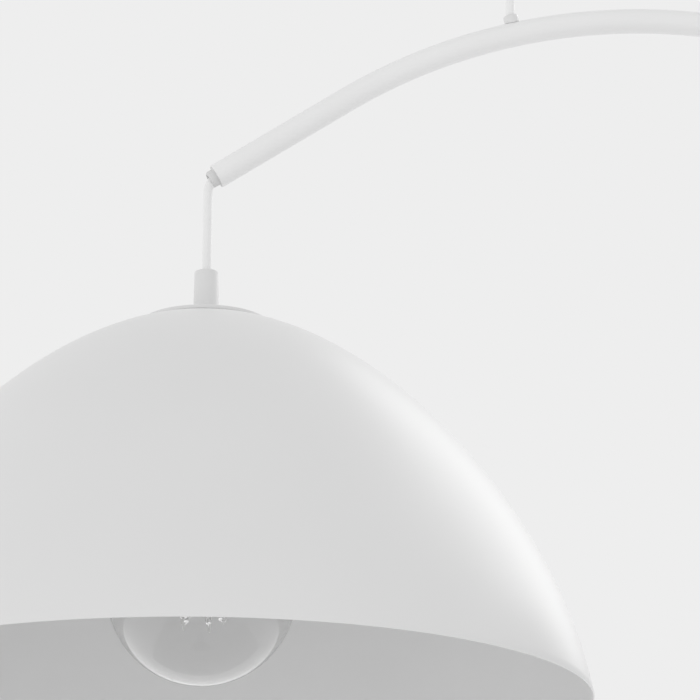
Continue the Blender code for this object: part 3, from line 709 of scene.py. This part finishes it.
def insideRoute():
    foot, up, along = bowPoint(bow["entryAt"]), bowNormal(bow["entryAt"]), bowAlong(bow["entryAt"])
    start, bend = bow["radius"], cord["insideBend"]
    route = [foot + up * (start + above) for above in cord["aboveTube"]]
    for step in range(5):
        a = math.radians(22.5 * step)
        route.append(foot + up * (start - bend * math.sin(a)) + along * bend * (1 - math.cos(a)))
    low = start - bend
    for u, share in cord["settling"]:
        route.append(bowPoint(u) + bowNormal(u) * low * share)
    turnStartU = -lampX - cord["endBend"] * (1 - math.sin(slope))
    route += [bowPoint(u) for u in (*cord["middleLine"], turnStartU - cord["beforeTurn"])]
    centre = bowPoint(turnStartU) + Vector((math.sin(slope), 0, -math.cos(slope))) * cord["endBend"]
    for step in range(9):
        a = slope + (math.pi / 2 - slope) * step / 8
        route.append(centre + Vector((-math.sin(a), 0, math.cos(a))) * cord["endBend"])
    return route + [linkTop]


def buildBowCords():
    piece = sweptTube("bowCord", smoothRoute(insideRoute(), cord["steps"]), cord["radius"],
                      cord["verts"])
    smoothShade(piece)
    dressPair(piece, made["cableSheath"], "bow", ["inner_cable"], mirrored=True)


def buildLinks():
    # the short length that bends where it leaves the bow
    middle = (linkTop + linkFoot) / 2
    piece = sweptTube("bendingLength", [linkTop, middle, linkFoot], cord["radius"], cord["verts"])
    smoothShade(piece)
    dressPair(piece, made["cableSheath"], "link", ["drop_cable_link"])


drop = {"intoGrip": 0.0205}  # how far above the grip's foot the cord ends inside it


def straightRoute(top, foot, spacing=0.006):
    count = max(2, round((top - foot).length / spacing))
    return [top + (foot - top) * i / count for i in range(count + 1)]


def buildDropCords():
    # the free length between the bend and the cord grip
    gripLow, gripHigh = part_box("cord_grip_left")
    foot = Vector((lampX, 0, gripLow.z + drop["intoGrip"]))
    piece = sweptTube("dropCord", straightRoute(linkFoot, foot), cord["radius"], cord["verts"])
    smoothShade(piece)
    for one in dressPair(piece, made["cableSheath"], "pendant", ["drop_cable"]):
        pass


def buildSuspensionCords():
    top = pivotOf("sideways_sway")
    foot = pivotOf("bow_stays_level")
    piece = sweptTube("suspensionCord", straightRoute(top, foot), cord["radius"], cord["verts"])
    smoothShade(piece)
    for one in dressPair(piece, made["cableSheath"], "cable",
                         ["suspension_cable"], mirrored=True):
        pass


buildBow()
buildCollars()
buildGrommets()
buildBowCords()
buildLinks()
buildDropCords()
buildSuspensionCords()
print("bow and cords made")

# shade: a spun shell with a flat crown and a rounded rim

shade = {
    "wall": 0.0012,
    "crown": 0.050,
    "flatRing": 0.030,  # one more ring on the flat of the crown
    "hole": 0.0052,
    "upperPull": (0.160, 0.252),
    "lowerPull": (0.265, 0.118),
    "steps": 52,
    "rimSteps": 6,
    "verts": 160,
    "riseShare": 0.35,  # of the height above the rim, in telling the inside from the outside
}


def shadeOutline():
    # the outside from the hole to the rim, round its edge and back up the inside
    wall = shade["wall"]
    outside = [(shade["hole"], rimRadius), (shade["flatRing"], rimRadius)]
    outside += bezierPoints((shade["crown"], rimRadius), shade["upperPull"], shade["lowerPull"],
                            (rimRadius, 0), shade["steps"])
    outside[-1] = (rimRadius - 0.0001, wall / 2)
    inside = [(shade["hole"], rimRadius - wall), (shade["flatRing"], rimRadius - wall)]
    for before, here, after in zip(outside[1:], outside[2:], outside[3:]):
        run = Vector((after[0] - before[0], after[1] - before[1])).normalized()
        inside.append((here[0] + run.y * wall, here[1] - run.x * wall))
    inside.append((outside[-1][0] - wall, wall / 2))
    rim = arcPoints(outside[-1][0] - wall / 2, wall / 2, wall / 2, 0, -180, shade["rimSteps"])
    return outside + rim[1:-1] + inside[::-1]


def buildShades():
    piece = drawRings("shadeShell", shadeOutline(), (lampX, 0, rimZ), verts=shade["verts"],
                      closed=True)
    smoothShade(piece, 40)
    pair = dressPair(piece, made["shadeLacquer"], "pendant", ["shade"])
    for one in pair:
        # faces that look into the shade take the darker copy of the same lacquer, a painted shade
        one.data.materials.append(made["insideLacquer"])
        axis = Vector((lampX if one.name.endswith("left") else -lampX, 0, rimZ))
        for face in one.data.polygons:
            out = face.center - axis
            out.z *= shade["riseShare"]
            if face.normal.dot(out) < 0:
                face.material_index = 1


# cover disc on the crown, with a soft edge

disc = {"edge": 0.0009, "hole": 0.0053, "footEdge": 0.0003, "holeEdge": 0.0004, "verts": 128}


def buildDiscs():
    low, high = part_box("top_disc_left")
    radius, thick, edge = (high.x - low.x) / 2, high.z - low.z, disc["edge"]
    hole, holeEdge, footEdge = disc["hole"], disc["holeEdge"], disc["footEdge"]
    outline = [(hole, 0), (radius - footEdge, 0), (radius, footEdge)]
    outline += arcPoints(radius - edge, thick - edge, edge, 0, 90, 6)
    outline += [(hole + holeEdge, thick), (hole, thick - holeEdge)]
    piece = drawRings("coverDisc", outline, (lampX, 0, low.z), verts=disc["verts"], closed=True)
    smoothShade(piece)
    dressPair(piece, made["shadeLacquer"], "pendant", ["top_disc"])


# cord grip: a slightly tapered sleeve with a pinch screw at the back

grip = {"topRadius": 0.0092, "footRadius": 0.0098, "edge": 0.0011, "footEdge": 0.0004,
        "bore": 0.0039, "boreEdge": 0.0009, "thread": 0.0052, "shoulder": 0.0200, "screwAt": 0.030,
        "screwHole": 0.0017, "holeFrom": 0.002, "holeTo": 0.014, "verts": 72}


def buildGrips():
    low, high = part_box("cord_grip_left")
    height, edge, bore = high.z - low.z, grip["edge"], grip["bore"]
    wide, narrow, footEdge, boreEdge = (grip[k] for k in ("footRadius", "topRadius", "footEdge",
                                                          "boreEdge"))
    outline = [(grip["thread"], 0), (wide - footEdge, 0), (wide, footEdge), (narrow, height - edge)]
    outline += arcPoints(narrow - edge, height - edge, edge, 15, 90, 5)
    outline += arcPoints(bore + boreEdge, height - boreEdge, boreEdge, 90, 180, 5)
    outline += [(bore, grip["shoulder"]), (grip["thread"], grip["shoulder"] - 0.001)]
    piece = drawRings("cordGrip", outline, (lampX, 0, low.z), verts=grip["verts"], closed=True)
    hole = low.z + grip["screwAt"]
    cutWith(piece, plainBar((lampX, grip["holeFrom"], hole), (lampX, grip["holeTo"], hole),
                            grip["screwHole"], 24))
    smoothShade(piece)
    dressPair(piece, made["fittingLacquer"], "pendant", ["cord_grip"])


buildShades()
buildDiscs()
buildGrips()
print("shades made")

# lampholder: ribbed body and a cap whose shoulder narrows to the stem

holder = {
    "radius": 0.0203,
    "rib": 0.0003,
    "inner": 0.0149,
    "verts": 120,
    "footStep": 0.0008,  # the plain foot stands back from the ribs by this much
    "footTall": 0.0070,
    "footRise": 0.0010,
    "ribsFrom": 0.0095,
    "ribsTo": 0.0015,  # below the top
    "bead": 0.0002,
    "beadDrop": 0.0009,
    "ribGap": 0.0001,
}
holderTop = {
    "neck": 0.0052,
    "neckTall": 0.0100,
    "brim": (0.0005, 0.0022),
    "shoulder": ((0.0190, 0.0056), (0.0172, 0.0092), (0.0118, 0.0094), (0.0108, 0.0124)),
    "radius": 0.0100,
    "edge": 0.0010,
    "innerSlope": ((0.0140, 0.0115), (0.0172, 0.0150)),  # radius, drop below the top
    "footWall": 0.0022,
}


def buildHolders():
    low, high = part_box("holder_body_left")
    radius, inner, tall = holder["radius"] - holder["rib"], holder["inner"], high.z - low.z
    step, footTall = holder["footStep"], holder["footTall"]
    outline = [(inner, 0), (radius - 2 * step, 0), (radius - step, step), (radius - step, footTall),
               (radius, footTall + holder["footRise"]), (radius, holder["ribsFrom"]),
               (radius, tall - holder["ribsTo"]), (radius + holder["bead"], tall - holder["beadDrop"]),
               (radius, tall), (inner, tall)]
    body = drawRings("holderBody", outline, (lampX, 0, low.z), verts=holder["verts"], closed=True)
    ribFoot, ribTop = holder["ribsFrom"] + holder["ribGap"], holder["ribsTo"] + holder["ribGap"]
    raiseRibs(body, lampX, low.z + ribFoot, high.z - ribTop, holder["verts"], holder["rib"])
    smoothShade(body, 30)
    dressPair(body, made["mouldedWhite"], "pendant", ["holder_body"])
    low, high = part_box("holder_cap_left")
    tall, neck, edge = high.z - low.z, holderTop["neck"], holderTop["edge"]
    brimIn, brimTall = holderTop["brim"]
    outside = [(radius, 0), (radius - brimIn, brimTall)]
    outside += bezierPoints(*holderTop["shoulder"], 8)
    outside += [(holderTop["radius"], tall - edge)]
    outside += arcPoints(holderTop["radius"] - edge, tall - edge, edge, 10, 90, 4)
    inside = [(neck, tall), (neck, tall - holderTop["neckTall"])]
    inside += [(r, tall - fall) for r, fall in holderTop["innerSlope"]]
    inside += [(radius - holderTop["footWall"], 0)]
    cap = drawRings("holderCap", outside + inside, (lampX, 0, low.z), verts=holder["verts"],
                    closed=True)
    smoothShade(cap, 30)
    dressPair(cap, made["mouldedWhite"], "pendant", ["holder_cap"])


# bulb: clear globe with a neck, screw cap, glass stem, support hooks and zigzag filament

globe = {"radius": 0.0700, "neck": 0.0124, "join": 62, "pull": 0.014, "neckPull": 0.012,
         "wall": 0.0009, "verts": 128, "arcSteps": 44, "intoCap": 0.008, "seat": 0.001}
globeCentre = Vector((lampX, 0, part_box("bulb_glass_left")[0].z + globe["radius"]))
capPivot = pivotOf("left_bulb_unscrew")


def buildGlobes():
    radius, neck = globe["radius"], globe["neck"]
    join = math.radians(globe["join"])
    start = Vector((radius * math.cos(join), radius * math.sin(join)))
    lean = Vector((-math.sin(join), math.cos(join))) * globe["pull"]
    top = capPivot.z - globeCentre.z
    outline = [(neck, top + globe["intoCap"])]
    outline += bezierPoints((neck, top - globe["seat"]), (neck, top - globe["neckPull"]),
                            tuple(start + lean), tuple(start), 12)
    outline += arcPoints(0, 0, radius, globe["join"], -90, globe["arcSteps"])[1:]
    piece = drawRings("clearGlobe", outline, globeCentre, verts=globe["verts"])
    giveWall(piece, globe["wall"])
    smoothShade(piece, 60)
    dressPair(piece, made["clearGlass"], "glass", ["bulb_glass"])


screwCap = {"crest": 0.0131, "root": 0.0123, "pitch": 0.00363, "turns": 5, "startAt": 0.0018,
            "steps": 48, "profileSteps": 8, "weld": 0.00001, "wall": 0.0003, "coneTop": 0.0235,
            # shares of the cone's rise, with the size reached at each
            "cone": ((0.4, 1.0), (0.45, 0.78), (0.15, 0.68)), "skirt": ((-0.4, 1.0),)}


def buildScrewCaps():
    # one pitch of rounded thread, wound up the cap by a screw modifier and trimmed level
    crest, root, pitch = screwCap["crest"], screwCap["root"], screwCap["pitch"]
    middle, wave = (crest + root) / 2, (crest - root) / 2
    shares = [i / screwCap["profileSteps"] for i in range(screwCap["profileSteps"] + 1)]
    line = [(middle - wave * math.cos(2 * math.pi * t), 0, pitch * t) for t in shares]
    piece = drawLine("screwCap", line)
    wind = piece.modifiers.new("wind", "SCREW")
    wind.steps = wind.render_steps = screwCap["steps"]
    wind.screw_offset = pitch
    wind.iterations = screwCap["turns"]
    wind.use_merge_vertices = True
    wind.merge_threshold = screwCap["weld"]
    takeUp(piece)
    applyAll(piece)
    low, high = pitch, pitch * screwCap["turns"]
    for height, above in ((low, False), (high, True)):
        bpy.ops.object.mode_set(mode="EDIT")
        bpy.ops.mesh.select_all(action="SELECT")
        bpy.ops.mesh.remove_doubles(threshold=screwCap["weld"])
        bpy.ops.mesh.bisect(plane_co=(0, 0, height), plane_no=(0, 0, 1), clear_outer=above,
                            clear_inner=not above)
        bpy.ops.object.mode_set(mode="OBJECT")
    rise = screwCap["coneTop"] - screwCap["startAt"] - (high - low)
    for height, moves in ((high, screwCap["cone"]), (low, screwCap["skirt"])):
        pickEdges(piece, lambda a, b: abs(a.z - height) < 1e-6 and abs(b.z - height) < 1e-6)
        at, size = height, 1.0
        for share, scale in moves:
            bpy.ops.mesh.extrude_region_move(TRANSFORM_OT_translate={"value": (0, 0, rise * share)})
            at += rise * share
            bpy.ops.transform.resize(value=(scale / size, scale / size, 1), center_override=(0, 0, at))
            size = scale
        bpy.ops.object.mode_set(mode="OBJECT")
    faceOutward()
    giveWall(piece, screwCap["wall"])
    piece.location = (lampX, 0, capPivot.z + screwCap["startAt"] - low)
    settle(piece)
    smoothShade(piece, 50)
    dressPair(piece, made["nickelPlate"], "bulb", ["bulb_cap"])


cage = {
    "turns": 5,
    "low": (0.0160, -0.0215),  # radius and height of the turns, from the globe's centre
    "high": (0.0095, 0.0283),
    "turnHalf": 0.07,  # half of a turn's width, in turns
    "ring": 0.0020,
    "ringWire": 0.00045,
    "wire": 0.0002,
    "wireSag": 0.0012,
    "rootRadius": 0.0010,
    "highRoot": 0.004,  # the upper wires leave the rod this far below their turns
    "filament": 0.00042,
    "bead": 0.0023,
    "buttonDrop": 0.0125,
}


def cagePoint(turn, radius, rise):
    a = 2 * math.pi * turn / cage["turns"]
    return globeCentre + Vector((radius * math.cos(a), radius * math.sin(a), rise))


def cageTurn(i):  # the low and the high turns follow each other
    return cage["low"] if i % 2 == 0 else cage["high"]


stemShape = {
    "flange": 0.0085,
    "flangeFrom": (0.012, 0.004),  # above the foot of the neck, like the heights below
    "taper": ((0.0078, 0.001), (0.0052, -0.006), (0.0044, -0.014), (0.0038, -0.030)),
    "tip": (0.0022, -0.036),
    "rodFrom": -0.040,
    "rod": 0.0012,
    "rodEnd": 0.0030,
    "button": 0.0024,
}


def buildStems():
    # pressed glass foot, thin rod and the button that holds the support wires
    top = capPivot.z - globeCentre.z
    button = -cage["buttonDrop"]
    flange, rod, (high, low) = stemShape["flange"], stemShape["rod"], stemShape["flangeFrom"]
    outline = [(onAxis, top + high), (flange, top + high), (flange, top + low)]
    outline += bezierPoints(*((r, top + rise) for r, rise in stemShape["taper"]), 8)
    tip, tipRise = stemShape["tip"]
    outline += [(tip, top + tipRise), (rod, top + stemShape["rodFrom"]),
                (rod, button + stemShape["rodEnd"])]
    outline += arcPoints(0, button, stemShape["button"], 60, -90, 8)
    piece = drawRings("glassStem", outline, globeCentre, verts=32)
    smoothShade(piece, 50)
    dressPair(piece, made["clearGlass"], "bulb", ["bulb_stem"])


def buildHooks():
    # a wire from the rod to each turn of the filament, ending in a ring and a fused bead
    parts = []
    for i in range(2 * cage["turns"]):
        turn, (radius, rise) = i / 2, cageTurn(i)
        centre = cagePoint(turn, radius, rise)
        rootRise = -cage["buttonDrop"] if rise < 0 else rise - cage["highRoot"]
        root = cagePoint(turn, cage["rootRadius"], rootRise)
        outward = (centre - root).normalized()
        end = centre - outward * cage["ring"]
        middle = root.lerp(end, 0.5) - Vector((0, 0, cage["wireSag"]))
        parts.append(sweptTube("hook", smoothRoute([root, middle, end], 4), cage["wire"], 8))
        bpy.ops.mesh.primitive_torus_add(major_segments=32, minor_segments=10, location=centre,
                                         rotation=(math.pi / 2, 0,
                                                   2 * math.pi * turn / cage["turns"]),
                                         major_radius=cage["ring"], minor_radius=cage["ringWire"])
        parts.append(settle(bpy.context.object))
        bpy.ops.mesh.primitive_uv_sphere_add(segments=20, ring_count=12, radius=cage["bead"],
                                             location=end)
        parts.append(settle(bpy.context.object))
    piece = joinPieces("supportHooks", parts)
    smoothShade(piece, 60)
    dressPair(piece, made["supportWire"], "bulb")


def buildFilaments():
    route = []
    for i in range(2 * cage["turns"]):
        for part in (-cage["turnHalf"], cage["turnHalf"]):
            route.append(cagePoint(i / 2 + part, *cageTurn(i)))
    piece = sweptTube("zigzagFilament", smoothRoute(route, 8), cage["filament"], 10)
    smoothShade(piece, 60)
    dressPair(piece, made["filamentCoat"], "bulb", ["filament"])


buildHolders()
buildGlobes()
buildScrewCaps()
buildStems()
buildHooks()
buildFilaments()
print("bulbs made")

# canopy: long shell with round ends, closed below, open to the ceiling

canopy = {"length": 0.300, "width": 0.070, "depth": 0.036, "wall": 0.0015, "edge": 0.0045,
          "edgeSteps": 6, "glandHole": 0.0063, "screwHole": 0.0022, "screwDrop": 0.012,
          "screwCut": (0.025, 0.045), "verts": 96}
cordX = -pivotOf("sideways_sway").x


def buildCanopy():
    half = canopy["width"] / 2
    dropSelection()
    bpy.ops.mesh.primitive_circle_add(vertices=canopy["verts"], radius=half,
                                      rotation=(0, 0, math.pi / canopy["verts"]))
    shell = settle(bpy.context.object)
    shell.name = "canopyShell"
    stretch = canopy["length"] / 2 - half
    for side in (-1, 1):
        pickEdges(shell, lambda a, b: a.x * side > 0 and b.x * side > 0)
        bpy.ops.transform.translate(value=(side * stretch, 0, 0))
        bpy.ops.object.mode_set(mode="OBJECT")
    bpy.ops.object.mode_set(mode="EDIT")
    bpy.ops.mesh.select_mode(type="VERT")
    bpy.ops.mesh.select_all(action="SELECT")
    bpy.ops.mesh.extrude_region_move(TRANSFORM_OT_translate={"value": (0, 0, -canopy["depth"])})
    bpy.ops.mesh.edge_face_add()
    bpy.ops.object.mode_set(mode="OBJECT")
    floor = -canopy["depth"]
    pickEdges(shell, lambda a, b: abs(a.z - floor) < inPlane and abs(b.z - floor) < inPlane)
    bpy.ops.mesh.bevel(offset=canopy["edge"], segments=canopy["edgeSteps"], affect="EDGES")
    bpy.ops.mesh.select_all(action="SELECT")
    bpy.ops.mesh.normals_make_consistent(inside=False)
    bpy.ops.object.mode_set(mode="OBJECT")
    giveWall(shell, canopy["wall"])
    screwFrom, screwTo = (stretch + out for out in canopy["screwCut"])
    for side in (-1, 1):
        cutWith(shell, plainBar((side * cordX, 0, floor - 0.004), (side * cordX, 0, floor + 0.016),
                                canopy["glandHole"], 40))
        cutWith(shell, plainBar((side * screwFrom, 0, -canopy["screwDrop"]),
                                (side * screwTo, 0, -canopy["screwDrop"]),
                                canopy["screwHole"], 24))
    smoothShade(shell, 30)
    dress(shell, made["bowLacquer"], "canopy", ["canopy_shell"])


# cord glands under the canopy, and the strain reliefs below them

gland = {"radius": 0.0093, "rib": 0.0002, "length": 0.016, "spigot": 0.0059, "spigotTop": 0.0068,
         "bore": 0.0040, "headGap": 0.0003, "neckAt": (0.0042, 0.0046, 0.0054, 0.0058),
         "neckDeep": 0.0006, "capEdge": 0.0024, "capTall": 0.0042, "footRadius": 0.0072, "verts": 72}
sleeve = {"bore": 0.0040, "topRadius": 0.0070, "footRadius": 0.0047, "crown": 0.0054,
          "band": (0.0014, 0.0034), "lip": 0.0006, "headTall": 0.0048, "grooves": 5,
          "groove": 0.0007, "grooveAt": (0.15, 0.5, 0.6, 0.9), "gap": 0.001, "step": 0.0008,
          "footEdge": (0.0004, 0.0006), "verts": 48}


def buildGlands():
    radius, foot = gland["radius"], -gland["length"]
    capTop, capEdge, gap = foot + gland["capTall"], gland["capEdge"], gland["headGap"]
    outline = [(gland["bore"], gland["spigotTop"]), (gland["spigot"], gland["spigotTop"]),
               (gland["spigot"], -gap), (radius, -gap)]
    for fall, deep in zip(gland["neckAt"], (0, gland["neckDeep"], gland["neckDeep"], 0)):
        outline.append((radius - deep, -fall))
    outline += [(radius, capTop)] + arcPoints(radius - capEdge, capTop, capEdge, -10, -60, 4)
    outline += [(gland["footRadius"], foot), (gland["bore"], foot)]
    piece = drawRings("cordGland", outline, (-cordX, 0, -canopy["depth"]), verts=gland["verts"],
                      closed=True)
    # the ribs stand on the nut, just clear of its edge and of the neck
    raiseRibs(piece, -cordX, capTop + 0.0003 - canopy["depth"],
              -gland["neckAt"][-1] - 0.0002 - canopy["depth"], gland["verts"], gland["rib"])
    smoothShade(piece, 30)
    dressPair(piece, made["fittingLacquer"], "canopy", ["canopy_gland"],
              mirrored=True)


def buildSleeves():
    low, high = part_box("gland_sleeve_left")
    tall, head = high.z - low.z, sleeve["headTall"]
    wide, narrow = sleeve["topRadius"], sleeve["footRadius"]
    outline = [(sleeve["crown"], tall)] + [(wide, tall - fall) for fall in sleeve["band"]]
    outline += [(wide - sleeve["lip"], tall - head)]
    pitch = (tall - head - sleeve["gap"]) / sleeve["grooves"]
    shoulder, deep = wide - sleeve["step"], sleeve["groove"]
    for i in range(sleeve["grooves"]):
        top = tall - head - pitch * i
        r = shoulder + (narrow - shoulder) * (i + 0.5) / sleeve["grooves"]
        for share, inset in zip(sleeve["grooveAt"], (0, 0, deep, deep)):
            outline.append((r - inset, top - share * pitch))
    edgeIn, edgeUp = sleeve["footEdge"]
    outline += [(narrow, edgeUp), (narrow - edgeIn, 0), (sleeve["bore"], 0), (sleeve["bore"], tall)]
    piece = drawRings("strainRelief", outline, (-cordX, 0, low.z), verts=sleeve["verts"],
                      closed=True)
    smoothShade(piece, 30)
    dressPair(piece, made["softBush"], "hangers", ["gland_sleeve"], mirrored=True)


screw = {"head": 0.0038, "dome": 0.0024, "shank": 0.0018, "slotWide": 0.0009, "slotDeep": 0.0012,
         "slotLong": 0.0040, "turns": 18, "threadFrom": 0.003, "threadDeep": 0.00035, "point": 0.002,
         "crown": ((0.0012, 0.0024), (0.0028, 0.0024), (0.0038, 0.0014), (0.0038, 0.0002)),
         "underHead": 0.0002}


def buildCanopyScrews():
    # pan head with a cross recess, driven in from the canopy's end
    low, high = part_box("canopy_screw_left")
    headX, height = low.x + screw["dome"], (low.z + high.z) / 2
    outline = [(onAxis, screw["dome"])]
    outline += bezierPoints(*screw["crown"], 8)
    outline += [(screw["head"] - screw["underHead"], 0), (screw["shank"], 0)]
    shank, length, threadFrom = screw["shank"], high.x - headX, screw["threadFrom"]
    for i in range(screw["turns"]):
        z = -threadFrom - (length - 2 * threadFrom) * i / screw["turns"]
        outline += [(shank, z), (shank - screw["threadDeep"], z - 0.0003)]
    outline += [(shank - 0.0004, screw["point"] - length), (onAxis, -length)]
    piece = drawRings("canopyScrew", outline, (headX, 0, height), verts=40, axis=(-1, 0, 0))
    for wide, tall in ((screw["slotLong"], screw["slotWide"]), (screw["slotWide"], screw["slotLong"])):
        dropSelection()
        bpy.ops.mesh.primitive_cube_add(size=1, location=(low.x, 0, height))
        bar = bpy.context.object
        bar.scale = (2 * screw["slotDeep"], wide, tall)
        cutWith(piece, settle(bar))
    smoothShade(piece, 35)
    dressPair(piece, made["zincPlate"], "canopy", ["canopy_screw"], mirrored=True)


buildCanopy()
buildGlands()
buildSleeves()
buildCanopyScrews()
print("canopy made")

# what stays as it is in the frame gets its finish here

kept = {
    "ceiling_bracket": "zincPlate",
    "terminal_block": "mouldedWhite",
    "earth_screw": "brassPlate",
    "gland_nut": "zincPlate",
    "canopy_lead": "cableSheath",
    "grip_screw": "zincPlate",
    "stem": "zincPlate",
    "shade_nut": "zincPlate",
    "holder_insert": "glazedCeramic",
    "contact_shell": "brassPlate",
    "centre_contact": "brassPlate",
    "bulb_contact": "brassPlate",
}


def finishKept():
    for name, node in frame["nodes"].items():
        if node.hide_render:
            continue
        base = name.replace("_left", "").replace("_right", "")
        node.data.materials.clear()
        node.data.materials.append(made[kept[base]])
        print("kept", name, "as", kept[base])


finishKept()
